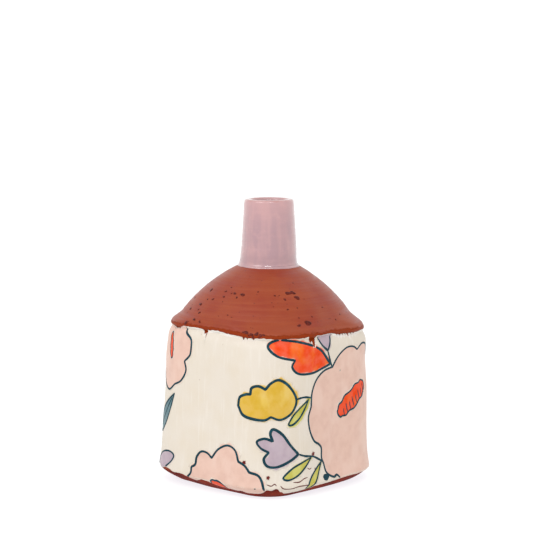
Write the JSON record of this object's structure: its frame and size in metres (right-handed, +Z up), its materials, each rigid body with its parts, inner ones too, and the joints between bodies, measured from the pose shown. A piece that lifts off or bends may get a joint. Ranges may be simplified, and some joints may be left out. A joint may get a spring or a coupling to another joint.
{
  "type": "ceramic bud vase",
  "caption": "Hand-built ceramic bud vase: flared soft-cornered drum, domed shoulder with a small lip, and a narrow glazed neck that takes a single stem.",
  "frame": {"origin": "centre of the flat underside of the foot, on the table", "axes": "+Z up, parallel to the neck, whose axis stands 2 mm to +X of the origin because the vase leans a little; the four soft corners of the drum point along +X, -X, +Y and -Y, and the front corner is the one on -Y"},
  "size_m": [0.0937, 0.0936, 0.1245],
  "materials": {
    "bare_clay": "matt, dark iron-red bare clay, slightly rough",
    "terracotta": "satin terracotta with small dark iron specks",
    "cream_slip": "smooth satin cream slip with drawn flowers",
    "pink_glaze": "glossy milky pink glaze",
    "clear_liner": "glossy clear glaze over terracotta",
    "underglaze_teal": "satin dark teal drawn lines and leaves",
    "underglaze_pink": "satin pink wash",
    "underglaze_orange": "satin orange wash",
    "underglaze_yellow": "satin yellow wash",
    "underglaze_lilac": "satin lilac wash",
    "underglaze_green": "satin yellow-green wash",
    "iron_speck": "glossy dark iron specks"
  },
  "bodies": {
    "root": {"floor_slab": "bare_clay", "floor_seam_coil": "terracotta", "wall_slab": "terracotta", "shoulder_seam_coil": "terracotta", "shoulder_dome": "terracotta", "neck_tube": "terracotta", "neck_foot_coil": "terracotta", "slip_sheet": "cream_slip", "neck_glaze": "pink_glaze", "liner_glaze": "clear_liner"}
  },
  "joints": []
}
